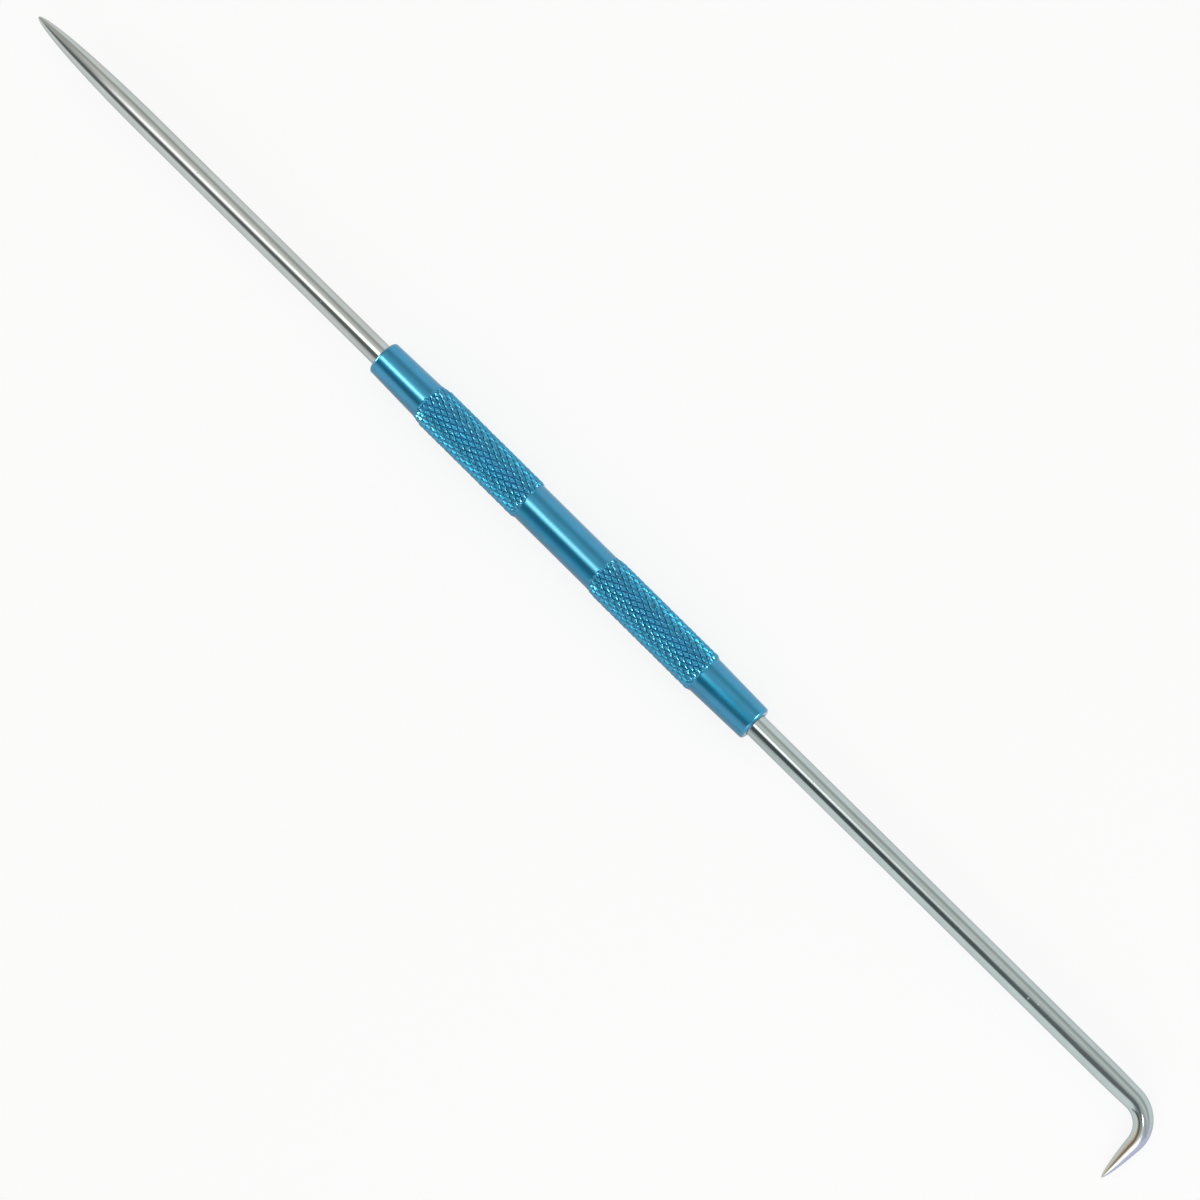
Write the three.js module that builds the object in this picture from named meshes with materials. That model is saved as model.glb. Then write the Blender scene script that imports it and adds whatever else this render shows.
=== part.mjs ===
// A double-ended scriber: a turned, knurled handle with a straight scribing point pressed
// into one end and a hooked one pressed into the other. All sizes are in millimetres.
// The tool's axis runs along X with the hook at +X, +Z is up, and the table is z = 0.
// The tool lies as it does when it is put down: on its knurling and on the hook's tip.

import * as THREE from 'three';

// The two rods
const rodDiameter = 3.175;
const straightReach = 64.9;
const straightTaperLength = 21.7;
const straightTaperPower = 0.5;
const hookReach = 71.1;
const hookDrop = 10.3;
const hookBendRadius = 4;
const hookBendAngle = THREE.MathUtils.degToRad(90);
const hookTaperLength = 19;
const hookTaperPower = 0.62;
const rodEndChamfer = 0.4;

// The handle, from the straight point's end to the hook's end
const straightEndLength = 8.4;
const knurlLength = 18.8;
const middleLength = 13.1;
const hookEndLength = 9.1;
const middleDiameter = 5.53;
const straightShoulderDiameter = 5.36;
const hookShoulderDiameter = 5.46;
const endTaperAngle = THREE.MathUtils.degToRad(1.3);
const endRounding = 0.4;

// The diamond knurling
const knurlStarts = 22;
const diamondsAlong = 12;
const knurlRaise = 0.2;
const knurlSink = 0.14;
const knurlRunIn = 1.4;

// The drilled sockets that hold the rods
const socketDepth = 20;
const socketClearance = 0.03;
const socketMouthChamfer = 0.2;
const rodEndClearance = 0.1;
const drillPointAngle = THREE.MathUtils.degToRad(118);

// How finely the round surfaces are faceted
const handleSides = 2 * knurlStarts;
const rodSides = 32;
const roundingSteps = 4;
const straightTaperSteps = 16;
const hookTaperSteps = 40;

// Sizes that follow from the ones above
const rodRadius = rodDiameter / 2;
const socketRadius = rodRadius + socketClearance;
const handleLength = straightEndLength + middleLength + hookEndLength + 2 * knurlLength;
const middleRadius = middleDiameter / 2;
const crestRadius = middleRadius + knurlRaise;
const shankLength = socketDepth - rodEndClearance;
const axisHeight = Math.max(crestRadius, straightShoulderDiameter / 2, hookShoulderDiameter / 2);

const anodisedBlue = new THREE.MeshStandardMaterial({
  color: 0x3f86ad,
  roughness: 0.32,
  metalness: 0.9,
});
const polishedSteel = new THREE.MeshStandardMaterial({
  color: 0xc9ccc6,
  roughness: 0.16,
  metalness: 1,
});

// Spins a profile of (radius, distance along the tool) about the X axis.
function turned(profile, sides) {
  const points = profile.map(([radius, along]) => new THREE.Vector2(radius, along));
  return new THREE.LatheGeometry(points, sides).rotateZ(-Math.PI / 2);
}

// Radius of a ground point at a distance from its tip: full rod at the taper's end, and the
// smaller the power, the fuller the nose. A power of 0.5 is a quarter of an ellipse.
function taperRadius(fromTip, taperLength, power) {
  const left = 1 - Math.min(fromTip / taperLength, 1);
  return rodRadius * (1 - left * left) ** power;
}

// A straight rod lying along +X, with its shank's end at 0 and its tip at the full length.
function rodProfile(length, taperLength, power, steps) {
  const profile = [
    [0, 0],
    [rodRadius - rodEndChamfer, 0],
    [rodRadius, rodEndChamfer],
  ];
  for (let step = steps; step >= 0; step--) {
    const fromTip = taperLength * (1 - Math.cos((step / steps) * (Math.PI / 2)));
    profile.push([taperRadius(fromTip, taperLength, power), length - fromTip]);
  }
  return profile;
}

function straightPoint() {
  const length = shankLength + straightReach;
  const profile = rodProfile(length, straightTaperLength, straightTaperPower, straightTaperSteps);
  const mesh = new THREE.Mesh(turned(profile, rodSides), polishedSteel);
  mesh.name = 'straight_point';
  mesh.rotation.y = Math.PI;
  mesh.position.x = shankLength - handleLength / 2;
  return mesh;
}

// Wraps a rod that lies along +X round the bend, towards -Y, as it is bent cold on a former.
function bend(geometry, bendStart, bendRadius, bendAngle) {
  const position = geometry.getAttribute('position');
  for (let i = 0; i < position.count; i++) {
    const past = Math.max(position.getX(i) - bendStart, 0);
    const angle = Math.min(past / bendRadius, bendAngle);
    const leg = past - bendRadius * angle;
    const before = Math.min(position.getX(i), bendStart);
    const side = position.getY(i);
    const x = before + (bendRadius + side) * Math.sin(angle) + leg * Math.cos(angle);
    const y = (bendRadius + side) * Math.cos(angle) - bendRadius - leg * Math.sin(angle);
    position.setXY(i, x, y);
  }
  geometry.computeVertexNormals();
  return geometry;
}

// Turns the hook down until the lowest point of its tip meets the table.
function hookRoll() {
  let roll = 0;
  for (let pass = 0; pass < 12; pass++) {
    let tipBelow = 0;
    for (let step = 0; step <= hookTaperSteps; step++) {
      const fromTip = (hookTaperLength * step) / hookTaperSteps / 8;
      const radius = taperRadius(fromTip, hookTaperLength, hookTaperPower);
      tipBelow = Math.max(tipBelow, radius * Math.cos(roll) - fromTip * Math.sin(roll));
    }
    roll = Math.asin(Math.min((axisHeight - tipBelow) / hookDrop, 1));
  }
  return roll;
}

function hookedPoint() {
  const legOffset = hookBendRadius * Math.tan(hookBendAngle / 2);
  const bendStart = shankLength + hookReach - legOffset;
  const legLength = hookDrop / Math.sin(hookBendAngle) - legOffset;
  const length = bendStart + hookBendRadius * hookBendAngle + legLength;
  const profile = rodProfile(length, hookTaperLength, hookTaperPower, hookTaperSteps);
  const geometry = bend(turned(profile, rodSides), bendStart, hookBendRadius, hookBendAngle);
  const mesh = new THREE.Mesh(geometry, polishedSteel);
  mesh.name = 'hooked_point';
  mesh.rotation.x = hookRoll();
  mesh.position.x = handleLength / 2 - shankLength;
  return mesh;
}

// One end of the handle as a profile that runs from the bottom of its socket, out through
// the mouth and round the rounded rim. The distance is counted inwards from the end's face.
function endProfile(shoulderDiameter, plainLength) {
  const endRadius = shoulderDiameter / 2 - plainLength * Math.tan(endTaperAngle);
  const profile = [
    [0, socketDepth + socketRadius / Math.tan(drillPointAngle / 2)],
    [socketRadius, socketDepth],
    [socketRadius, socketMouthChamfer],
    [socketRadius + socketMouthChamfer, 0],
  ];
  for (let step = 0; step <= roundingSteps; step++) {
    const angle = (step / roundingSteps) * (Math.PI / 2);
    const outwards = endRadius - endRounding * (1 - Math.sin(angle));
    profile.push([outwards, endRounding * (1 - Math.cos(angle))]);
  }
  return profile;
}

// Rows of points along one knurled band. Each row after the first and before the last holds
// crests and roots by turns, and both grow out of the plain surface over the run-in.
function knurlRows(start, startRadius, endRadius) {
  const rows = [];
  const count = 2 * diamondsAlong;
  for (let row = 0; row <= count; row++) {
    const along = (knurlLength * row) / count;
    const fromEdge = Math.min(along, knurlLength - along);
    const depth = Math.min(fromEdge / knurlRunIn, 1);
    const plain = row < count / 2 ? startRadius : endRadius;
    rows.push({ row, depth, plain, along: start + along });
  }
  return rows;
}

// The rolled diamonds. The blank's lathe grid already has a point at every crest and at every
// place where two grooves cross, so each point is moved out or in, and each cell is then
// divided along its groove. Four cells round a crest make one pyramid-shaped diamond.
function rollKnurl(geometry, profileLength, bands) {
  const position = geometry.getAttribute('position');
  const triangles = [];
  for (let column = 0; column <= handleSides; column++) {
    for (const band of bands) {
      for (const { row, depth, plain } of band.rows) {
        const index = column * profileLength + band.first + row;
        const isCrest = (row + column) % 2 === 0;
        const full = isCrest ? crestRadius : middleRadius - knurlSink;
        const scale = (plain + (full - plain) * depth) / plain;
        position.setY(index, position.getY(index) * scale);
        position.setZ(index, position.getZ(index) * scale);
      }
    }
  }
  for (let column = 0; column < handleSides; column++) {
    for (let point = 0; point < profileLength - 1; point++) {
      const near = column * profileLength + point;
      const side = near + profileLength;
      const band = bands.find(({ first, rows }) => point >= first && point < first + rows.length - 1);
      const nearIsCrest = band !== undefined && (point - band.first + column) % 2 === 0;
      if (nearIsCrest) {
        triangles.push(near, side, near + 1, side, side + 1, near + 1);
      } else {
        triangles.push(near, side, side + 1, near, side + 1, near + 1);
      }
    }
  }
  geometry.setIndex(triangles);
  geometry.computeVertexNormals();
}

function handle() {
  const half = handleLength / 2;
  const firstBandStart = straightEndLength - half;
  const secondBandStart = firstBandStart + knurlLength + middleLength;
  const straightShoulder = straightShoulderDiameter / 2;
  const hookShoulder = hookShoulderDiameter / 2;

  const profile = endProfile(straightShoulderDiameter, straightEndLength)
    .map(([radius, inwards]) => [radius, inwards - half]);
  const bands = [
    knurlRows(firstBandStart, straightShoulder, middleRadius),
    knurlRows(secondBandStart, middleRadius, hookShoulder),
  ].map((rows) => {
    const first = profile.length;
    profile.push(...rows.map(({ plain, along }) => [plain, along]));
    return { first, rows };
  });
  profile.push(...endProfile(hookShoulderDiameter, hookEndLength)
    .map(([radius, inwards]) => [radius, half - inwards])
    .reverse());

  const geometry = turned(profile, handleSides);
  rollKnurl(geometry, profile.length, bands);
  const mesh = new THREE.Mesh(geometry, anodisedBlue);
  mesh.name = 'handle';
  return mesh;
}

// The origin is on the table, under the middle of the tool's footprint.
const scriber = new THREE.Group();
scriber.add(handle(), straightPoint(), hookedPoint());
const footprint = new THREE.Box3().setFromObject(scriber, true).getCenter(new THREE.Vector3());
scriber.position.set(-footprint.x, -footprint.y, axisHeight);

export default scriber;
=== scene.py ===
"""A double-ended scriber with a knurled blue handle, a straight point and a hooked point.

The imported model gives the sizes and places. Each piece here is a smooth surface worked out with
numpy in that frame, and carries the finish of the real one. Lengths are in metres.
"""

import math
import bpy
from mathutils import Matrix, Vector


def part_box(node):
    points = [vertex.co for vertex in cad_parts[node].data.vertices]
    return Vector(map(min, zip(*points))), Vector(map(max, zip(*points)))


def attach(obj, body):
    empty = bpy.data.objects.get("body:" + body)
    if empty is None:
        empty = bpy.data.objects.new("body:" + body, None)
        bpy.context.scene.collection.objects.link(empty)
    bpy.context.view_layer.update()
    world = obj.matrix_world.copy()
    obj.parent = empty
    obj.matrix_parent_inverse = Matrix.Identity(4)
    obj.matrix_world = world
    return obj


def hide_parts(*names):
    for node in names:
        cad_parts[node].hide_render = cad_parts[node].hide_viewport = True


bl_info = {
    "name": "Double-Ended Scriber",
    "version": (1, 0, 0),
    "blender": (4, 5, 0),
    "location": "View3D > Sidebar > Scriber",
    "description": "Builds a knurled scriber with a straight point and a hooked point",
    "category": "Add Mesh",
}

import bpy
import numpy as np
from bpy.props import (
    FloatProperty,
    FloatVectorProperty,
    IntProperty,
    PointerProperty,
)
from mathutils import Matrix, Vector

MM = 0.001

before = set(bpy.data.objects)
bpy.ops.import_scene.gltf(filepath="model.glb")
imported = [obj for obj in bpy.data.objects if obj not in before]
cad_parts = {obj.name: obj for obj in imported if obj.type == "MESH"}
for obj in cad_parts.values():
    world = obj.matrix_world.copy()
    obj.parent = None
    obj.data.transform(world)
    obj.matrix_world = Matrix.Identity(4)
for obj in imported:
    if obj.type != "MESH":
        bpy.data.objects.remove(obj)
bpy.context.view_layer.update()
HANDLE_LOW, HANDLE_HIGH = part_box("handle")
STRAIGHT_LOW, STRAIGHT_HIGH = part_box("straight_point")
HOOK_LOW, HOOK_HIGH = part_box("hooked_point")

CREST_RADIUS = (HANDLE_HIGH.z - HANDLE_LOW.z) / 2
ROD_RADIUS = (STRAIGHT_HIGH.y - STRAIGHT_LOW.y) / 2
AXIS_Y = (STRAIGHT_LOW.y + STRAIGHT_HIGH.y) / 2
AXIS_Z = (HANDLE_LOW.z + HANDLE_HIGH.z) / 2
HANDLE_MIDDLE_X = (HANDLE_LOW.x + HANDLE_HIGH.x) / 2


# Sizes and colours that a user would change


class HandleSettings(bpy.types.PropertyGroup):
    """The turned and knurled handle."""

    straight_end: FloatProperty(
        name="Straight end", description="Plain length before the first knurled band",
        default=8.4 * MM, min=MM, subtype="DISTANCE", unit="LENGTH")
    hook_end: FloatProperty(
        name="Hook end", description="Plain length after the second knurled band",
        default=9.1 * MM, min=MM, subtype="DISTANCE", unit="LENGTH")
    band: FloatProperty(
        name="Band", description="Length of each knurled band",
        default=18.8 * MM, min=MM, subtype="DISTANCE", unit="LENGTH")
    middle_diameter: FloatProperty(
        name="Middle diameter", description="Diameter of the plain stretch between the bands",
        default=5.53 * MM, min=MM, subtype="DISTANCE", unit="LENGTH")
    straight_shoulder: FloatProperty(
        name="Straight shoulder", description="Diameter beside the first band",
        default=5.36 * MM, min=MM, subtype="DISTANCE", unit="LENGTH")
    hook_shoulder: FloatProperty(
        name="Hook shoulder", description="Diameter beside the second band",
        default=5.46 * MM, min=MM, subtype="DISTANCE", unit="LENGTH")
    end_taper: FloatProperty(
        name="End taper", description="How far each plain end slopes in towards its face",
        default=math.radians(1.3), min=0, subtype="ANGLE", unit="ROTATION")
    rounding: FloatProperty(
        name="Rim rounding", description="Radius of the rounded rim at each end",
        default=0.4 * MM, min=0.05 * MM, subtype="DISTANCE", unit="LENGTH")
    mouth_chamfer: FloatProperty(
        name="Mouth chamfer", description="Bevel round the mouth of each socket",
        default=0.2 * MM, min=0.02 * MM, subtype="DISTANCE", unit="LENGTH")
    socket_depth: FloatProperty(
        name="Socket depth", description="Depth of the drilled hole that holds each rod",
        default=20 * MM, min=MM, subtype="DISTANCE", unit="LENGTH")
    drill_angle: FloatProperty(
        name="Drill angle", description="Angle of the cone at the bottom of each socket",
        default=math.radians(118), min=math.radians(60), subtype="ANGLE", unit="ROTATION")
    socket_clearance: FloatProperty(
        name="Socket clearance", description="Gap between a rod and its socket, on each side",
        default=0.03 * MM, min=0, subtype="DISTANCE", unit="LENGTH")
    knurl_starts: IntProperty(
        name="Knurl starts", description="Grooves of each hand round the handle",
        default=22, min=6)
    diamonds_along: IntProperty(
        name="Diamonds along", description="Diamonds from end to end of a band",
        default=12, min=2)
    groove_depth: FloatProperty(
        name="Groove depth", description="Depth of the rolled grooves below the crests",
        default=0.24 * MM, min=0, subtype="DISTANCE", unit="LENGTH")
    cross_share: FloatProperty(
        name="Cross grooves", description="Depth of the other hand's grooves, as a share",
        default=0.88, min=0.1, max=1, subtype="FACTOR")
    flat_crest: FloatProperty(
        name="Flat crest", description="Share of the way out of a groove where a ridge is level",
        default=0.72, min=0.3, max=1, subtype="FACTOR")
    cross_flat: FloatProperty(
        name="Cross flat crest", description="The same for the other hand's ridges",
        default=0.75, min=0.3, max=1, subtype="FACTOR")
    ridge_bow: FloatProperty(
        name="Ridge bow", description="How far the flanks of a ridge bulge",
        default=0.4, min=0, max=1, subtype="FACTOR")
    cross_bow: FloatProperty(
        name="Cross ridge bow", description="The same for the other hand's ridges",
        default=0.1, min=0, max=1, subtype="FACTOR")
    band_two_turn: FloatProperty(
        name="Second band's turn",
        description="Turn of the second band against the first, in diamonds",
        default=0.3333, min=0, max=1, subtype="FACTOR")
    groove_entry: FloatProperty(
        name="Groove entry", description="Distance in which the grooves reach their depth",
        default=0.45 * MM, min=0.1 * MM, subtype="DISTANCE", unit="LENGTH")
    run_in: FloatProperty(
        name="Run in", description="Distance over which the crests rise where the roll entered",
        default=1.4 * MM, min=0.1 * MM, subtype="DISTANCE", unit="LENGTH")
    run_out: FloatProperty(
        name="Run out", description="Distance over which the crests fall at the other edge",
        default=0.5 * MM, min=0.1 * MM, subtype="DISTANCE", unit="LENGTH")
    knurl_cells: IntProperty(
        name="Knurl cells", description="Mesh cells across half a diamond",
        default=6, min=2, max=8)


class RodSettings(bpy.types.PropertyGroup):
    """The two steel rods."""

    straight_taper: FloatProperty(
        name="Straight taper", description="Length of the straight rod's ground nose",
        default=21.7 * MM, min=MM, subtype="DISTANCE", unit="LENGTH")
    straight_power: FloatProperty(
        name="Straight fullness", description="0.5 grinds the nose to a quarter ellipse",
        default=0.5, min=0.2, max=2)
    hook_taper: FloatProperty(
        name="Hook taper", description="Length of the hooked rod's taper round the bend",
        default=19 * MM, min=MM, subtype="DISTANCE", unit="LENGTH")
    hook_power: FloatProperty(
        name="Hook fullness", description="A larger power grinds a slimmer nose",
        default=0.62, min=0.2, max=2)
    hook_drop: FloatProperty(
        name="Hook drop", description="Distance from the tool's axis to the hook's tip",
        default=10.3 * MM, min=MM, subtype="DISTANCE", unit="LENGTH")
    bend_radius: FloatProperty(
        name="Bend radius", description="Radius of the bend at the rod's centre line",
        default=4 * MM, min=MM, subtype="DISTANCE", unit="LENGTH")
    hook_reach: FloatProperty(
        name="Hook reach", description="Distance from the handle's end to the middle of the leg",
        default=71.1 * MM, min=MM, subtype="DISTANCE", unit="LENGTH")
    end_chamfer: FloatProperty(
        name="End chamfer", description="Bevel at the end of each rod that the socket hides",
        default=0.4 * MM, min=0.02 * MM, subtype="DISTANCE", unit="LENGTH")
    columns: IntProperty(
        name="Columns", description="Mesh columns round a rod", default=96, min=12)


class FinishSettings(bpy.types.PropertyGroup):
    """Colours and surface finishes."""

    anodised_blue: FloatVectorProperty(
        name="Anodised blue", description="Colour of the dyed oxide on the handle",
        default=(0.01, 0.247, 0.448), size=3, min=0, max=1, subtype="COLOR")
    bare_aluminium: FloatVectorProperty(
        name="Bare aluminium", description="Colour inside the sockets and their mouths",
        default=(0.46, 0.46, 0.44), size=3, min=0, max=1, subtype="COLOR")
    straight_steel: FloatVectorProperty(
        name="Straight steel", description="Colour of the straight ground and polished rod",
        default=(0.51, 0.545, 0.53), size=3, min=0, max=1, subtype="COLOR")
    hooked_steel: FloatVectorProperty(
        name="Hooked steel", description="Colour of the hooked rod, a little cooler",
        default=(0.475, 0.555, 0.55), size=3, min=0, max=1, subtype="COLOR")
    straw: FloatVectorProperty(
        name="Straw", description="Heat tint on the inner side of the ground hook",
        default=(0.62, 0.5, 0.36), size=3, min=0, max=1, subtype="COLOR")
    violet: FloatVectorProperty(
        name="Violet", description="Heat tint on the outer side of the ground hook",
        default=(0.45, 0.46, 0.66), size=3, min=0, max=1, subtype="COLOR")


class StudioSettings(bpy.types.PropertyGroup):
    """The camera, the floor and the light."""

    distance: FloatProperty(
        name="Camera distance", description="From the camera to the point that it aims at",
        default=0.77, min=0.05, subtype="DISTANCE", unit="LENGTH")
    tilt: FloatProperty(
        name="Camera tilt", description="How far the camera leans from straight above, to +X",
        default=math.radians(10), subtype="ANGLE", unit="ROTATION")
    roll: FloatProperty(
        name="Camera roll", description="Turn of the picture, which lays the tool diagonally",
        default=math.radians(44.685), subtype="ANGLE", unit="ROTATION")
    lens: FloatProperty(
        name="Lens", description="Focal length in mm on a 36 mm sensor", default=180.76,
        min=10)
    aim_x: FloatProperty(
        name="Aim along", description="Where the camera aims, from the handle's middle",
        default=8.553 * MM, subtype="DISTANCE", unit="LENGTH")
    aim_y: FloatProperty(
        name="Aim aside", description="Where the camera aims, from the tool's axis",
        default=-2.609 * MM, subtype="DISTANCE", unit="LENGTH")
    softbox: FloatProperty(
        name="Softbox", description="Brightness of the softbox over the straight end",
        default=1.67, min=0)
    lamp_core: FloatProperty(
        name="Softbox core", description="Brightness of the softbox's bright middle",
        default=5.8, min=0)
    far_lamp: FloatProperty(
        name="Far lamp", description="Watts of the round lamp beyond the straight end",
        default=12.0, min=0, unit="POWER")
    near_lamp: FloatProperty(
        name="Near lamp", description="Watts of the round lamp beyond the hooked end",
        default=14.0, min=0, unit="POWER")
    end_lamp: FloatProperty(
        name="End lamp", description="Watts of the round lamp over the handle's straight end",
        default=1.3, min=0, unit="POWER")
    bend_lamp: FloatProperty(
        name="Bend lamp", description="Watts of the round lamp beside the hook's bend",
        default=0.8, min=0, unit="POWER")
    hook_card: FloatProperty(
        name="Hook card", description="Watts of the small soft light beside the hook's leg",
        default=0.026, min=0, unit="POWER")
    pale_wall: FloatVectorProperty(
        name="Pale wall", description="Colour of the tent's walls near the table",
        default=(0.99, 1.01, 1.0), size=3, min=0, subtype="COLOR")
    dim_band: FloatVectorProperty(
        name="Dim band", description="Colour of the tent between its wall and its warm panel",
        default=(0.52, 0.51, 0.48), size=3, min=0, subtype="COLOR")
    warm_panel: FloatVectorProperty(
        name="Warm panel", description="Colour of the panel beside the softbox",
        default=(0.88, 0.85, 0.81), size=3, min=0, subtype="COLOR")
    grey_top: FloatVectorProperty(
        name="Grey top", description="Colour of the tent behind the softbox and the gap",
        default=(0.58, 0.58, 0.58), size=3, min=0, subtype="COLOR")
    end_wall: FloatVectorProperty(
        name="End wall", description="Colour of the tent beyond the straight point",
        default=(0.56, 0.56, 0.52), size=3, min=0, subtype="COLOR")
    floor_colour: FloatVectorProperty(
        name="Floor", description="Colour of the table",
        default=(0.86, 0.88, 0.87), size=3, min=0, max=1, subtype="COLOR")


# Surfaces


def ring_stack(centres, sideways, upwards, radii, columns):
    """Rings round a path: centre + radius * (sideways * sin(turn) + upwards * cos(turn)).

    radii has one value for each station, or one for each station and column.
    """
    turn = np.arange(columns) / columns * 2 * math.pi
    radii = np.broadcast_to(np.asarray(radii, float).reshape(len(centres), -1),
                            (len(centres), columns))
    spoke = (sideways[:, None, :] * np.sin(turn)[None, :, None]
             + upwards[:, None, :] * np.cos(turn)[None, :, None])
    return centres[:, None, :] + radii[:, :, None] * spoke


def along_axis(stations):
    """Centre points and ring directions for stations along the tool's straight axis."""
    count = len(stations)
    centres = np.column_stack([stations, np.full(count, AXIS_Y), np.full(count, AXIS_Z)])
    sideways = np.tile([0.0, 1.0, 0.0], (count, 1))
    upwards = np.tile([0.0, 0.0, 1.0], (count, 1))
    return centres, sideways, upwards


def closed_skin(name, rings, distances, crest_first=None, heights=None):
    """A closed mesh from a stack of rings whose first and last ones are single points.

    Each cell between two rings is two triangles. crest_first marks the cells whose cut runs from
    the far near corner to the near far one, and the rest are cut the other way. The UV map holds
    the share of a turn and the distance along the profile. heights go into an attribute.
    """
    count, columns = rings.shape[0] - 2, rings.shape[1]
    points = np.concatenate([rings[0, :1], rings[1:-1].reshape(-1, 3), rings[-1, :1]])
    first, last = 0, len(points) - 1
    ring = 1 + np.arange(count)[:, None] * columns
    here = np.arange(columns)[None, :]
    after = (here + 1) % columns
    a = ring[:-1] + here
    b = ring[1:] + here
    c = ring[1:] + after
    d = ring[:-1] + after
    if crest_first is None:
        crest_first = np.zeros((count + 1, columns), bool)
    other = crest_first[1:-1, :, None]
    one = np.where(other, np.stack([a, b, d], -1), np.stack([a, b, c], -1))
    two = np.where(other, np.stack([b, c, d], -1), np.stack([a, c, d], -1))
    start = np.stack([np.full(columns, first), ring[0] + here[0], ring[0] + after[0]], -1)
    end = np.stack([ring[-1] + here[0], np.full(columns, last), ring[-1] + after[0]], -1)
    faces = np.concatenate([start, one.reshape(-1, 3), two.reshape(-1, 3), end])

    mesh = bpy.data.meshes.new(name)
    mesh.vertices.add(len(points))
    mesh.vertices.foreach_set("co", points.astype(np.float32).ravel())
    mesh.loops.add(faces.size)
    mesh.loops.foreach_set("vertex_index", faces.astype(np.int32).ravel())
    mesh.polygons.add(len(faces))
    mesh.polygons.foreach_set("loop_start", np.arange(0, faces.size, 3, dtype=np.int32))
    mesh.polygons.foreach_set("use_smooth", np.ones(len(faces), bool))

    turn = np.concatenate([[0.5], np.tile(np.arange(columns) / columns, count), [0.5]])
    travel = np.concatenate([[distances[0]], np.repeat(distances[1:-1], columns), [distances[-1]]])
    u = turn[faces]
    wraps = u.max(axis=1, keepdims=True) - u.min(axis=1, keepdims=True) > 0.7
    u = np.where(wraps & (u < 0.3), u + 1, u)
    uv = mesh.uv_layers.new(name="surface")
    uv.data.foreach_set("uv", np.stack([u, travel[faces]], -1).astype(np.float32).ravel())
    if heights is not None:
        share = np.concatenate([[heights[0, 0]], heights[1:-1].ravel(), [heights[-1, 0]]])
        layer = mesh.attributes.new("height", "FLOAT", "POINT")
        layer.data.foreach_set("value", share.astype(np.float32))
    mesh.update(calc_edges=True)
    mesh.validate()
    return mesh


def add_piece(name, mesh, material, node, crease):
    """Puts a mesh in the scene in place of its CAD node, on the part's one body."""
    mesh.set_sharp_from_angle(angle=crease)
    mesh.materials.append(material)
    piece = bpy.data.objects.new(name, mesh)
    bpy.context.scene.collection.objects.link(piece)
    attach(piece, "root")
    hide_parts(node)
    return piece


def profile_distance(along, radius):
    """Distance walked along a profile, summed from point to point."""
    steps = np.hypot(np.diff(along), np.diff(radius))
    return np.concatenate([[0.0], np.cumsum(steps)])


# The handle


def end_profile(settings, shoulder, plain_length):
    """One end of the handle, from the socket's bottom out to the rim's rounding.

    The distance is counted inwards from the end's face. The rim is a quarter circle:
    inwards = rounding * (1 - cos), radius = end radius - rounding * (1 - sin).
    """
    socket = ROD_RADIUS + settings.socket_clearance
    end_radius = shoulder / 2 - plain_length * math.tan(settings.end_taper)
    angle = np.linspace(0, math.pi / 2, 9)
    rim_inwards = settings.rounding * (1 - np.cos(angle))
    rim_radius = end_radius - settings.rounding * (1 - np.sin(angle))
    mouth = settings.mouth_chamfer
    drill = socket / math.tan(settings.drill_angle / 2)
    inwards = [settings.socket_depth + drill, settings.socket_depth, mouth * 1.3, mouth * 0.9,
               mouth * 0.3, 0.0]
    radius = [0.0, socket, socket, socket + mouth * 0.12, socket + mouth * 0.8, socket + mouth]
    return np.concatenate([inwards, rim_inwards]), np.concatenate([radius, rim_radius])


def knurled_band(settings, start, columns, before, after, seed, turned=0.0):
    """Radii over one knurled band, as (stations, radius grid, crest-height grid).

    Two sets of V grooves wind round the handle in opposite hands. With P the length of a
    diamond and n the number of starts, their phases are n * turn + x / P and
    n * turn - x / P, and a groove lies where a phase is whole. The first set leaves ridges
    with bowed flanks and level tops, the second one straighter and a little shallower grooves,
    and the lower of the two heights counts. turned moves both phases on.
    """
    cells = 2 * settings.diamonds_along * settings.knurl_cells
    x = np.linspace(0, settings.band, cells + 1)[:, None]
    turn = (np.arange(columns) / columns)[None, :]
    along = x / settings.band * settings.diamonds_along
    phase = settings.knurl_starts * turn + turned
    height = np.ones((cells + 1, columns))
    for hand, share, level, bow in ((1, 1.0, settings.flat_crest, settings.ridge_bow),
                                    (-1, settings.cross_share, settings.cross_flat,
                                     settings.cross_bow)):
        winding = phase + hand * along
        climb = np.minimum(1 - 2 * np.abs(winding - np.floor(winding) - 0.5), level) / level
        ridge = np.minimum(climb * (1 + bow - bow * climb**4), 1)
        height = np.minimum(height, 1 - share * (1 - ridge))

    spread = 0.035
    shape = (settings.knurl_starts * 2, settings.diamonds_along * 2 + 2)
    uneven = np.random.default_rng(seed).normal(0, spread, shape)
    row = np.round(along * 2).astype(int) + np.zeros_like(turn, int)
    column = np.round(phase * 2).astype(int) % shape[0] + np.zeros_like(row)
    height = np.clip(height * (1 + uneven[column, row]), 0, 1)

    left = settings.band - x
    rise = np.clip(np.minimum(x / settings.run_in, left / settings.run_out), 0, 1)
    entry = np.clip(np.minimum(x, left) / settings.groove_entry, 0, 1)
    plain = before + (after - before) * x / settings.band
    radius = plain + (CREST_RADIUS - plain) * rise - settings.groove_depth * (1 - height) * entry
    return start + x[:, 0], radius, 1 - (1 - height) * entry


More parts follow.
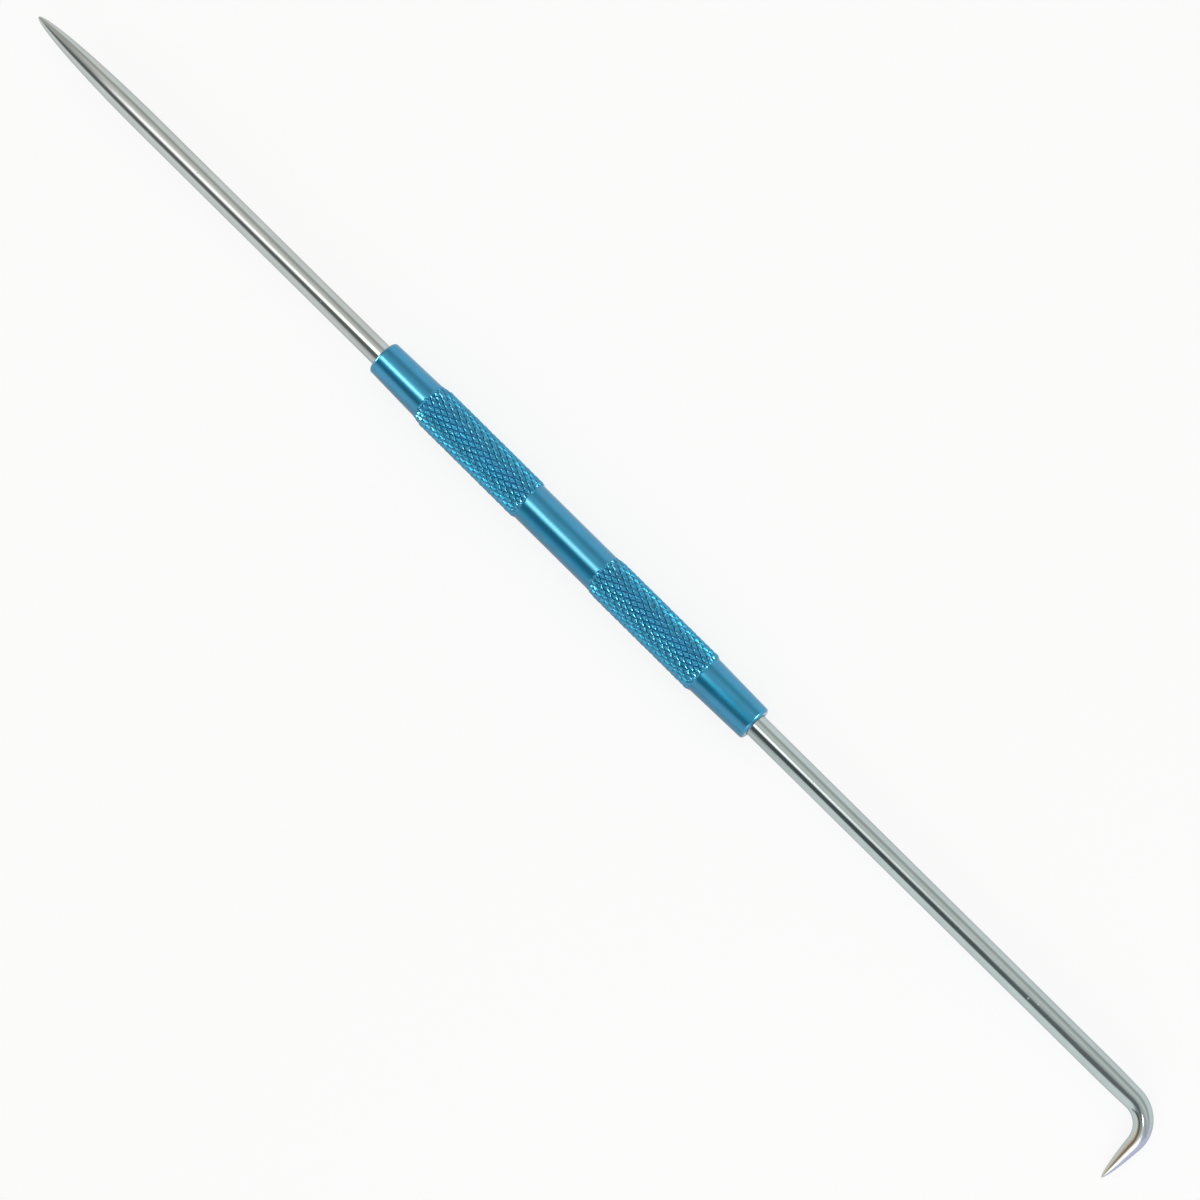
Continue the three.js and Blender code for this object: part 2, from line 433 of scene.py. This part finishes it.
def handle_mesh(settings):
    """The whole handle: two ends, two knurled bands and the plain middle in one skin."""
    columns = 2 * settings.knurl_starts * settings.knurl_cells
    straight, hook = settings.straight_shoulder, settings.hook_shoulder
    middle = settings.middle_diameter / 2
    start_in, start_radius = end_profile(settings, straight, settings.straight_end)
    end_in, end_radius = end_profile(settings, hook, settings.hook_end)

    band_one = HANDLE_LOW.x + settings.straight_end
    band_two = HANDLE_HIGH.x - settings.hook_end - settings.band
    one_x, one_radius, one_height = knurled_band(
        settings, band_one, columns, straight / 2, middle, seed=3)
    two_x, two_radius, two_height = knurled_band(
        settings, band_two, columns, middle, hook / 2, seed=8, turned=settings.band_two_turn)

    # Plain rings close to each band keep its uneven normals out of the smooth stretches
    clear = 0.08 * MM
    slope = math.tan(settings.end_taper)
    gap_x = np.array([one_x[-1] + clear, two_x[0] - clear])
    plain = np.full((1, columns), 1.0)
    stations = np.concatenate([HANDLE_LOW.x + start_in, one_x[:1] - clear, one_x, gap_x, two_x,
                               two_x[-1:] + clear, HANDLE_HIGH.x - end_in[::-1]])
    radii = np.concatenate([
        start_radius[:, None] * plain, (straight / 2 - clear * slope) * plain, one_radius,
        np.full((2, columns), middle), two_radius, (hook / 2 - clear * slope) * plain,
        end_radius[::-1, None] * plain])
    out_of_groove = 0.8
    smooth_rows = [len(start_in) + 1, 2, 1 + len(end_in)]
    before_one, between, after_two = (np.full((rows, columns), out_of_groove)
                                      for rows in smooth_rows)
    heights = np.concatenate([before_one, one_height, between, two_height, after_two])

    # Each cell of the knurling is cut along its groove
    half_diamond = settings.knurl_cells
    moved_on = round(settings.band_two_turn * 2 * half_diamond)
    cut = np.zeros((len(stations) - 1, columns), bool)
    for first, moved in ((len(before_one), 0), (len(before_one) + len(one_x) + 2, moved_on)):
        rows = 2 * settings.diamonds_along * half_diamond
        row = np.arange(rows)[:, None] // half_diamond
        column = (np.arange(columns)[None, :] + moved) // half_diamond
        cut[first:first + rows] = (row + column) % 2 == 1

    rings = ring_stack(*along_axis(stations), radii, columns)
    distance = profile_distance(stations, radii[:, 0])
    return closed_skin("handle_knurled", rings, distance, crest_first=cut, heights=heights)


class SCRIBER_OT_handle(bpy.types.Operator):
    """Build the knurled handle"""

    bl_idname = "scriber.handle"
    bl_label = "Handle"

    def execute(self, context):
        mesh = handle_mesh(context.scene.scriber_handle)
        handle = add_piece("handle_knurled", mesh, anodised_aluminium(context),
                           "handle", crease=math.radians(32))
        lit_pieces("handle").objects.link(handle)
        return {"FINISHED"}


# The rods


def ground_radius(from_tip, taper, power):
    """Radius of a ground nose: rod radius * (1 - (1 - distance / taper) ** 2) ** power."""
    left = 1 - np.clip(from_tip / taper, 0, 1)
    return ROD_RADIUS * (1 - left**2) ** power


def nose_distances(taper, count):
    """Distances from the tip, close together at the tip: taper * (1 - cos(angle))."""
    return taper * (1 - np.cos(np.linspace(0, math.pi / 2, count)))


def shank_end(length, chamfer):
    """The rod's hidden end, as distances from the tip and radii."""
    return np.array([length - chamfer, length, length]), np.array(
        [ROD_RADIUS, ROD_RADIUS - chamfer, 0.0])


def straight_mesh(settings):
    """The straight rod, from its tip at the far left to its shank's end in the socket."""
    length = STRAIGHT_HIGH.x - STRAIGHT_LOW.x
    nose = nose_distances(settings.straight_taper, 64)
    body = np.linspace(settings.straight_taper, length, 40)[1:-1]
    end, end_radius = shank_end(length, settings.end_chamfer)
    from_tip = np.concatenate([nose, body, end])
    radius = np.concatenate([
        ground_radius(np.concatenate([nose, body]), settings.straight_taper,
                      settings.straight_power), end_radius])
    rings = ring_stack(*along_axis(STRAIGHT_LOW.x + from_tip), radius, settings.columns)
    return closed_skin("straight_rod", rings, from_tip)


def hook_roll(settings):
    """The turn about the tool's axis that brings the tip's lowest point down to the table."""
    from_tip = np.linspace(0, 3 * MM, 200)
    radius = ground_radius(from_tip, settings.hook_taper, settings.hook_power)
    roll = 0.0
    for _ in range(12):
        below = np.max(radius * math.cos(roll) - from_tip * math.sin(roll))
        roll = math.asin((AXIS_Z - below) / settings.hook_drop)
    return roll


def bent_path(settings, travelled, roll):
    """Centre points and ring directions along the hooked rod.

    travelled is the distance from the shank's end. Up to the bend the rod runs along X. In the
    bend the angle is the distance past its start over the bend's radius, and the centre is
    radius * sin(angle) along and radius * (1 - cos(angle)) aside. After it the leg runs straight.
    """
    leg_x = HANDLE_HIGH.x + settings.hook_reach
    bend_start = leg_x - settings.bend_radius - HOOK_LOW.x
    past = np.maximum(travelled - bend_start, 0)
    angle = np.minimum(past / settings.bend_radius, math.pi / 2)
    leg = past - settings.bend_radius * angle
    along = (HOOK_LOW.x + np.minimum(travelled, bend_start)
             + settings.bend_radius * np.sin(angle) + leg * np.cos(angle))
    aside = settings.bend_radius * (1 - np.cos(angle)) + leg * np.sin(angle)
    towards = np.array([0.0, -math.cos(roll), -math.sin(roll)])
    forward = np.array([1.0, 0.0, 0.0])
    centres = np.column_stack([along, np.full(len(along), AXIS_Y), np.full(len(along), AXIS_Z)])
    centres = centres + aside[:, None] * towards
    sideways = np.sin(angle)[:, None] * forward - np.cos(angle)[:, None] * towards
    upwards = np.tile([0.0, -math.sin(roll), math.cos(roll)], (len(along), 1))
    return centres, sideways, upwards


def hooked_mesh(settings):
    """The hooked rod, from its shank's end in the socket round the bend to its tip."""
    leg_x = HANDLE_HIGH.x + settings.hook_reach
    length = (leg_x - settings.bend_radius - HOOK_LOW.x + settings.bend_radius * math.pi / 2
              + settings.hook_drop - settings.bend_radius)
    nose = nose_distances(settings.hook_taper, 120)
    body = np.linspace(settings.hook_taper, length, 40)[1:-1]
    end, end_radius = shank_end(length, settings.end_chamfer)
    from_tip = np.concatenate([nose, body, end])[::-1]
    radius = np.concatenate([
        ground_radius(np.concatenate([nose, body]), settings.hook_taper, settings.hook_power),
        end_radius])[::-1]
    path = bent_path(settings, length - from_tip, hook_roll(settings))
    rings = ring_stack(*path, radius, settings.columns)
    return closed_skin("hooked_rod", rings, from_tip)


class SCRIBER_OT_straight_rod(bpy.types.Operator):
    """Build the straight scribing rod"""

    bl_idname = "scriber.straight_rod"
    bl_label = "Straight rod"

    def execute(self, context):
        mesh = straight_mesh(context.scene.scriber_rods)
        colour = context.scene.scriber_finish.straight_steel
        material = bright_steel(context, "straight", colour, mark_from_tip=19.6 * MM)
        add_piece("straight_rod", mesh, material, "straight_point",
                  crease=math.radians(30))
        return {"FINISHED"}


class SCRIBER_OT_hooked_rod(bpy.types.Operator):
    """Build the hooked scribing rod"""

    bl_idname = "scriber.hooked_rod"
    bl_label = "Hooked rod"

    def execute(self, context):
        mesh = hooked_mesh(context.scene.scriber_rods)
        colour = context.scene.scriber_finish.hooked_steel
        material = bright_steel(context, "hooked", colour, mark_from_tip=21 * MM,
                                ground_length=9.5 * MM)
        rod = add_piece("hooked_rod", mesh, material, "hooked_point",
                        crease=math.radians(30))
        lit_pieces("hook").objects.link(rod)
        return {"FINISHED"}


# Node helpers


class Signal:
    """An output socket that can be used in a Python expression, which adds Math nodes."""

    def __init__(self, nodes, socket):
        self.nodes = nodes
        self.socket = socket

    def maths(self, operation, *others):
        return self.nodes.add("ShaderNodeMath", {"operation": operation},
                              {i: v for i, v in enumerate((self, *others))}).out(0)

    def reverse(self, operation, other):
        return self.nodes.add("ShaderNodeMath", {"operation": operation},
                              {0: other, 1: self}).out(0)

    def __add__(self, other):
        return self.maths("ADD", other)

    def __sub__(self, other):
        return self.maths("SUBTRACT", other)

    def __mul__(self, other):
        return self.maths("MULTIPLY", other)

    def __truediv__(self, other):
        return self.maths("DIVIDE", other)

    def __pow__(self, other):
        return self.maths("POWER", other)

    def __neg__(self):
        return self.maths("MULTIPLY", -1.0)

    def __rsub__(self, other):
        return self.reverse("SUBTRACT", other)

    def __rtruediv__(self, other):
        return self.reverse("DIVIDE", other)

    __radd__ = __add__
    __rmul__ = __mul__

    def absolute(self):
        return self.maths("ABSOLUTE")

    def at_least(self, other):
        return self.maths("MAXIMUM", other)

    def at_most(self, other):
        return self.maths("MINIMUM", other)

    def step(self, low, high):
        """0 below low, 1 above high and a smooth rise between them."""
        return self.nodes.add(
            "ShaderNodeMapRange", {"interpolation_type": "SMOOTHSTEP", "clamp": True},
            {"Value": self, "From Min": low, "From Max": high, "To Min": 0.0, "To Max": 1.0}
        ).out("Result")


class Made:
    """A node that has been added, whose outputs are taken by name or number."""

    def __init__(self, nodes, node):
        self.nodes = nodes
        self.node = node

    def out(self, name):
        return Signal(self.nodes, self.node.outputs[name])


class Nodes:
    """The node tree of a material or the world."""

    def __init__(self, tree):
        self.tree = tree
        tree.nodes.clear()

    def add(self, kind, settings=None, sockets=None):
        """Adds a node: first its settings, then the values or links of its sockets."""
        node = self.tree.nodes.new(kind)
        for name, value in (settings or {}).items():
            setattr(node, name, value)
        for name, value in (sockets or {}).items():
            if isinstance(value, Signal):
                self.tree.links.new(value.socket, node.inputs[name])
            else:
                node.inputs[name].default_value = value
        return Made(self, node)

    def mix(self, share, one, other):
        """Blends two colours by a share."""
        made = self.add("ShaderNodeMix", {"data_type": "RGBA"},
                        {0: share, 6: self.colour(one), 7: self.colour(other)})
        return made.out(2)

    def add_light(self, level, strength, colour):
        """Adds light of a colour and a strength to a colour."""
        light = self.add("ShaderNodeVectorMath", {"operation": "SCALE"},
                         {0: colour, "Scale": strength}).out("Vector")
        return self.add("ShaderNodeVectorMath", {"operation": "ADD"},
                        {0: level, 1: light}).out("Vector")

    @staticmethod
    def colour(value):
        return value if isinstance(value, Signal) else (*value, 1.0)

    def split(self, vector):
        """The three parts of a vector."""
        made = self.add("ShaderNodeSeparateXYZ", None, {0: vector})
        return made.out("X"), made.out("Y"), made.out("Z")

    def join(self, x, y, z):
        """A vector from three parts."""
        return self.add("ShaderNodeCombineXYZ", None, {0: x, 1: y, 2: z}).out(0)

    def noise(self, vector, scale, detail=2.0):
        """Noise from 0 to 1 at a point."""
        return self.add("ShaderNodeTexNoise", None,
                        {"Vector": vector, "Scale": scale, "Detail": detail,
                         "Roughness": 0.5}).out("Fac")

    def bump(self, height, distance):
        """A surface normal from a height between 0 and 1."""
        return self.add("ShaderNodeBump", None,
                        {"Height": height, "Distance": distance, "Strength": 1.0}).out("Normal")


def new_material(name):
    material = bpy.data.materials.new(name)
    material.use_nodes = True
    return material, Nodes(material.node_tree)


def finish_material(nodes, shader):
    nodes.add("ShaderNodeOutputMaterial", None, {"Surface": shader.out("BSDF")})


# Finishes


def anodised_aluminium(context):
    """Blue anodised aluminium: turning lines, a little cloudiness, and painted shade in the
    grooves.
    """
    finish = context.scene.scriber_finish
    material, nodes = new_material("blue_anodised_aluminium")
    place = nodes.add("ShaderNodeTexCoord").out("Object")
    x, y, z = nodes.split(place)
    aside, above = y - AXIS_Y, z - AXIS_Z
    radius = (aside * aside + above * above) ** 0.5
    height = nodes.add("ShaderNodeAttribute", {"attribute_name": "height"}).out("Fac")

    rings = nodes.noise(nodes.join(x, radius * 0.4, 0.0), 9000.0, detail=3.0)
    cloud = nodes.noise(place, 420.0, detail=3.0)
    grain = nodes.noise(place, 5200.0, detail=2.0)
    in_groove = 1 - height.step(0.05, 0.6)
    inside = 1 - radius.step(ROD_RADIUS + 0.1 * MM, ROD_RADIUS + 0.2 * MM)

    dark = tuple(0.62 * part for part in finish.anodised_blue)
    pale = tuple(min(1.0, 1.12 * part) for part in finish.anodised_blue)
    tone = nodes.mix(cloud.step(0.3, 0.75), finish.anodised_blue, pale)
    # Painted shade: the knurl's grooves are mixed towards a darker blue, standing for the shade
    # deep in them
    tone = nodes.mix(in_groove * 0.3, tone, dark)
    tone = nodes.mix(inside, tone, finish.bare_aluminium)

    roughness = 0.25 + 0.04 * rings + 0.04 * grain + 0.04 * in_groove
    bumps = nodes.bump(rings * 0.5 + grain * 0.5, 0.0004 * MM)
    shader = nodes.add("ShaderNodeBsdfPrincipled", None, {
        "Base Color": tone, "Metallic": 1.0, "Roughness": roughness, "Normal": bumps,
        "Specular Tint": (0.5, 0.5, 0.5, 1.0), "Coat Weight": 1.0, "Coat Roughness": 0.06,
        "Coat IOR": 1.6})
    finish_material(nodes, shader)
    return material


def bright_steel(context, name, colour, mark_from_tip, ground_length=0.0):
    """Ground and polished steel: lengthwise lines, tiny pits, chatter marks and a ground tip.

    The UV map gives the turn round the rod and the distance from the tip, so the same finish
    follows the hooked rod round its bend. Up to the ground length from the tip the surface is
    coarser, with the tints that grinding heat leaves: straw inside the hook, violet outside.
    """
    finish = context.scene.scriber_finish
    material, nodes = new_material("bright_steel_" + name)
    map_place = nodes.add("ShaderNodeUVMap", {"uv_map": "surface"}).out("UV")
    turn, from_tip, _ = nodes.split(map_place)
    angle = turn * (2 * math.pi)
    outward = angle.maths("SINE")
    upward = angle.maths("COSINE")
    across, above = outward * ROD_RADIUS, upward * ROD_RADIUS
    around = nodes.join(across, above, from_tip)

    lines = nodes.noise(nodes.join(across, above, from_tip * 0.03), 6500.0, detail=3.0)
    waves = nodes.noise(nodes.join(across, above, from_tip * 0.12), 1700.0, detail=2.0)
    cloud = nodes.noise(around, 260.0, detail=2.0)
    pits = 1 - nodes.add("ShaderNodeTexVoronoi", {"feature": "F1"},
                         {"Vector": around, "Scale": 800.0}).out("Distance").step(0.07, 0.16)
    rare = nodes.noise(around, 380.0, detail=0.0).step(0.54, 0.6)
    chatter = nodes.noise(nodes.join(across + from_tip * 0.06, above, from_tip * 0.16), 3000.0,
                          detail=1.0)
    near_mark = 1 - (from_tip - mark_from_tip).absolute().step(1.6 * MM, 3.6 * MM)

    bright = tuple(min(1.0, part * 1.06) for part in colour)
    tone = nodes.mix(cloud.step(0.3, 0.7), tuple(colour), bright)
    roughness = 0.055 + 0.03 * lines + 0.02 * cloud + 0.3 * pits * rare
    if ground_length > 0:
        ground = 1 - (from_tip + cloud * 2.0 * MM).step(ground_length * 0.75, ground_length * 1.25)
        inner = outward.step(-0.8, -0.35) * (1 - outward.step(-0.05, 0.35)) * ground * 0.9
        outer = outward.step(0.35, 0.6) * ground * 0.75
        tone = nodes.mix(outer, nodes.mix(inner, tone, finish.straw), finish.violet)
        roughness = roughness + 0.16 * ground
    height = lines * 0.2 + waves * 0.5 - pits * rare + chatter * near_mark * 2.5
    bumps = nodes.bump(height, 0.002 * MM)
    shader = nodes.add("ShaderNodeBsdfPrincipled", None, {
        "Base Color": tone, "Metallic": 1.0, "Roughness": roughness, "Normal": bumps,
        "Specular Tint": (0.7, 0.7, 0.7, 1.0)})
    finish_material(nodes, shader)
    return material


# The stage


def tent_light(nodes, studio, angle):
    """The tent by angle: a pale wall, a dim band, a warm panel, a grey top and a pale wall."""
    light = nodes.mix(angle.step(-50.0, -20.0), studio.dim_band, studio.warm_panel)
    light = nodes.mix(angle.step(-25.0, 8.0), light, studio.grey_top)
    light = nodes.mix(angle.step(8.0, 76.0), light, studio.pale_wall)
    return nodes.mix(1 - angle.step(-78.0, -50.0), light, studio.pale_wall)


def sky(context):
    """The studio as the tool sees it: a pale tent, a softbox with a bright core and a dark gap.

    side is the X part of a direction. angle is its turn about the tool's axis in degrees, from
    straight up towards -Y. past is how far a direction lies beyond the softbox's end, towards
    the hooked end, where the softbox fades and all edges move over. by_handle is 1 for the
    directions that the handle mirrors to the camera, and cored for those of its straight end
    and middle, where the softbox has its bright core.
    """
    studio = context.scene.scriber_studio
    world = bpy.data.worlds.new("studio")
    context.scene.world = world
    world.use_nodes = True
    nodes = Nodes(world.node_tree)
    direction = nodes.add("ShaderNodeTexCoord").out("Generated")
    side, y, z = nodes.split(direction)
    angle = (-y).maths("ARCTAN2", z) * math.degrees(1)
    past = ((side + 0.145) * 100.0).at_least(0.0)
    moved = past.at_most(9.0)
    ending = side.step(-0.2, -0.145)
    beginning = 1 - side.step(-0.262, -0.24)
    by_handle = side.step(-0.235, -0.227) * (1 - side.step(-0.141, -0.136))
    cored = by_handle * (1 - side.step(-0.18, -0.155))
    coreless = by_handle - cored

    shade = by_handle * angle.step(40.0, 80.0) * 0.42
    level = nodes.mix(shade, tent_light(nodes, studio, angle + moved), (0.0, 0.0, 0.0))
    beyond = (1 - side.step(-0.46, -0.36)) * (1 - angle.absolute().step(20.0, 75.0))
    level = nodes.mix(beyond, level, studio.end_wall)

    box_edge = 1.0 + 3.8 * ending - 2.3 * past
    box_soft = 23.0 - 12.0 * ending
    glow = ((angle - box_edge) / box_soft).step(-1.0, 1.0) * (1 - angle.step(24.0, 44.0))
    glow = glow * side.step(-0.37, -0.3)
    fading = (1 + 0.2 * ending + 0.22 * beginning + 0.6 * coreless - 0.17 * past).at_least(0.0)
    level = nodes.add_light(level, glow * fading * studio.softbox, (1.08, 1.0, 1.01))

    gap_start = 16.5 + 1.5 * ending + 1.5 * beginning - 1.85 * moved - 16.5 * cored
    gap_end = ((59.0 + 4.2 * ending - 1.5 * past).at_least(36.0) + 11.0 * by_handle
               + 9.0 * coreless - (-0.4 - side).at_least(0.0) * 110.0)
    start_soft = 15.0 - 4.0 * ending
    end_soft = 10.0 - 3.0 * ending
    gap = (((angle - gap_start) / start_soft).step(-1.0, 1.0)
           * (1 - ((angle - gap_end) / end_soft).step(-1.0, 1.0))
           * (1 - side.step(0.14, 0.34)) * side.step(-0.68, -0.56))
    dark = nodes.mix(ending, (0.17, 0.17, 0.18), (0.1, 0.105, 0.11))
    dark = nodes.mix(past.step(4.0, 8.0), dark, (0.2, 0.205, 0.21))
    level = nodes.mix(gap, level, dark)

    core_middle, core_reach = 7.8, 19.0
    core = ((1 - ((angle - core_middle).absolute() / core_reach).step(0.0, 1.0))
            * side.step(-0.234, -0.226) * (1 - side.step(-0.185, -0.155)))
    level = nodes.add_light(level, core * studio.lamp_core, (0.85, 1.0, 0.78))

    background = nodes.add("ShaderNodeBackground", None, {"Color": level, "Strength": 1.0})
    nodes.add("ShaderNodeOutputWorld", None, {"Surface": background.out("Background")})


def lit_pieces(name):
    """The collection of the pieces that some of the lamps light alone."""
    name = "lit_" + name
    return bpy.data.collections.get(name) or bpy.data.collections.new(name)


def area_light(context, name, shape, size, energy, colour, place, direction, distance):
    """A light that stands off from a place in a direction and faces it, unseen by the camera."""
    data = bpy.data.lights.new(name, "AREA")
    data.shape = shape
    data.size = size
    data.energy = energy
    data.color = colour
    away = Vector(direction).normalized()
    light = bpy.data.objects.new(name, data)
    light.matrix_world = (Matrix.Translation(place + away * distance)
                          @ away.to_track_quat("Z", "Y").to_matrix().to_4x4())
    light.visible_camera = False
    context.scene.collection.objects.link(light)
    return light


def lamps(context):
    """Round lamps that each light one piece, and a small soft card beside the hook.

    Three lamps draw the handle's glints and one the hook's crescent. The card draws the white
    line down the ground leg.
    """
    studio = context.scene.scriber_studio
    handle = Vector((HANDLE_MIDDLE_X, AXIS_Y, AXIS_Z))
    bend = Vector((HOOK_HIGH.x, AXIS_Y, AXIS_Z))
    leg = Vector((HOOK_HIGH.x, HOOK_LOW.y, AXIS_Z))
    cool, warm, white = (0.95, 1.0, 0.82), (1.0, 0.93, 0.86), (1.0, 1.0, 1.0)
    far_off, close_by = 1.2, 0.12
    for name, lit, colour, place, direction, size, energy in (
            ("far_lamp", "handle", cool, handle, (-0.895, -0.31, 0.321), 0.64, studio.far_lamp),
            ("near_lamp", "handle", cool, handle, (0.63, 0.568, 0.53), 0.5, studio.near_lamp),
            ("end_lamp", "handle", cool, handle, (-0.36, -0.145, 0.922), 0.34, studio.end_lamp),
            ("bend_lamp", "hook", warm, bend, (0.345, -0.25, 0.905), 0.18, studio.bend_lamp)):
        lamp = area_light(context, name, "DISK", size, energy, colour, place, direction, far_off)
        lamp.light_linking.receiver_collection = lit_pieces(lit)
    area_light(context, "hook_card", "SQUARE", 0.064, studio.hook_card, white, leg,
               (0.55, -0.64, 0.54), close_by)


def table_top(context):
    """The pale table. The camera and the metal see it white, and it keeps the shadow.

    Beside the handle, on its -Y side, the metal sees it less bright through a painted shadow that
    stands for the shade the handle casts there; the camera still sees it white.
    """
    half, height = 2.0, -0.02 * MM
    mesh = bpy.data.meshes.new("table_top")
    corners = [(-half, -half, height), (half, -half, height), (half, half, height),
               (-half, half, height)]
    mesh.from_pydata(corners, [], [(0, 1, 2, 3)])
    material, nodes = new_material("table")
    matt = nodes.add("ShaderNodeBsdfDiffuse", None, {
        "Color": (*context.scene.scriber_studio.floor_colour, 1.0)}).out("BSDF")
    glow = nodes.add("ShaderNodeEmission", None, {"Color": (1, 1, 1, 1), "Strength": 1.05}
                     ).out("Emission")
    x, y, _ = nodes.split(nodes.add("ShaderNodeTexCoord").out("Object"))
    # Painted shadow: a patch beside the handle, on its -Y side, where glossy rays see the table's
    # glow dimmed
    shadow_beside_handle = ((1 - (x - HANDLE_MIDDLE_X).absolute().step(0.03, 0.045))
              * (1 - (y - AXIS_Y).step(-0.003, 0.0)))
    path = nodes.add("ShaderNodeLightPath")
    mirrored = path.out("Is Glossy Ray") * (1 - 0.65 * shadow_beside_handle)
    seen = path.out("Is Camera Ray") + mirrored + path.out("Is Transmission Ray")
    lift = 0.8
    lifted = nodes.add("ShaderNodeMixShader", None,
                       {0: seen.at_most(1.0) * lift, 1: matt, 2: glow})
    nodes.add("ShaderNodeOutputMaterial", None, {"Surface": lifted.out("Shader")})
    mesh.materials.append(material)
    table = bpy.data.objects.new("table_top", mesh)
    context.scene.collection.objects.link(table)


def camera(context):
    """The camera leans over the hook's end and looks down at the tool, which lies diagonally."""
    studio = context.scene.scriber_studio
    aim = Vector((HANDLE_MIDDLE_X + studio.aim_x, AXIS_Y + studio.aim_y, AXIS_Z))
    back = Vector((math.sin(studio.tilt), 0.0, math.cos(studio.tilt)))
    right = Vector((0.0, 1.0, 0.0)).cross(back)
    right.normalize()
    up = back.cross(right)
    turned_right = right * math.cos(studio.roll) + up * math.sin(studio.roll)
    turned_up = up * math.cos(studio.roll) - right * math.sin(studio.roll)
    turned = Matrix((turned_right, turned_up, back)).transposed().to_4x4()
    data = bpy.data.cameras.new("camera")
    data.lens = studio.lens
    data.sensor_width = 36
    data.clip_start = 0.01
    data.clip_end = 20
    eye = bpy.data.objects.new("camera", data)
    eye.matrix_world = Matrix.Translation(aim + back * studio.distance) @ turned
    context.scene.collection.objects.link(eye)
    context.scene.camera = eye


class SCRIBER_OT_stage(bpy.types.Operator):
    """Set up the camera, the table and the studio light"""

    bl_idname = "scriber.stage"
    bl_label = "Stage"

    def execute(self, context):
        context.scene.view_settings.view_transform = "Standard"
        camera(context)
        table_top(context)
        sky(context)
        lamps(context)
        return {"FINISHED"}


class SCRIBER_PT_panel(bpy.types.Panel):
    """Lists the scriber's pieces and its stage"""

    bl_idname = "SCRIBER_PT_panel"
    bl_label = "Scriber"
    bl_space_type = "VIEW_3D"
    bl_region_type = "UI"
    bl_category = "Scriber"

    def draw(self, context):
        for operator in OPERATORS:
            self.layout.operator(operator.bl_idname)


SETTINGS = {
    "scriber_handle": HandleSettings,
    "scriber_rods": RodSettings,
    "scriber_finish": FinishSettings,
    "scriber_studio": StudioSettings,
}
OPERATORS = (
    SCRIBER_OT_stage,
    SCRIBER_OT_handle,
    SCRIBER_OT_straight_rod,
    SCRIBER_OT_hooked_rod,
)


def register():
    for group in SETTINGS.values():
        bpy.utils.register_class(group)
    for name, group in SETTINGS.items():
        setattr(bpy.types.Scene, name, PointerProperty(type=group))
    for operator in OPERATORS:
        bpy.utils.register_class(operator)
    bpy.utils.register_class(SCRIBER_PT_panel)


def unregister():
    bpy.utils.unregister_class(SCRIBER_PT_panel)
    for operator in reversed(OPERATORS):
        bpy.utils.unregister_class(operator)
    for name in SETTINGS:
        delattr(bpy.types.Scene, name)
    for group in reversed(SETTINGS.values()):
        bpy.utils.unregister_class(group)


def main():
    register()
    bpy.ops.scriber.stage()
    bpy.ops.scriber.handle()
    bpy.ops.scriber.straight_rod()
    bpy.ops.scriber.hooked_rod()


if __name__ == "__main__":
    main()
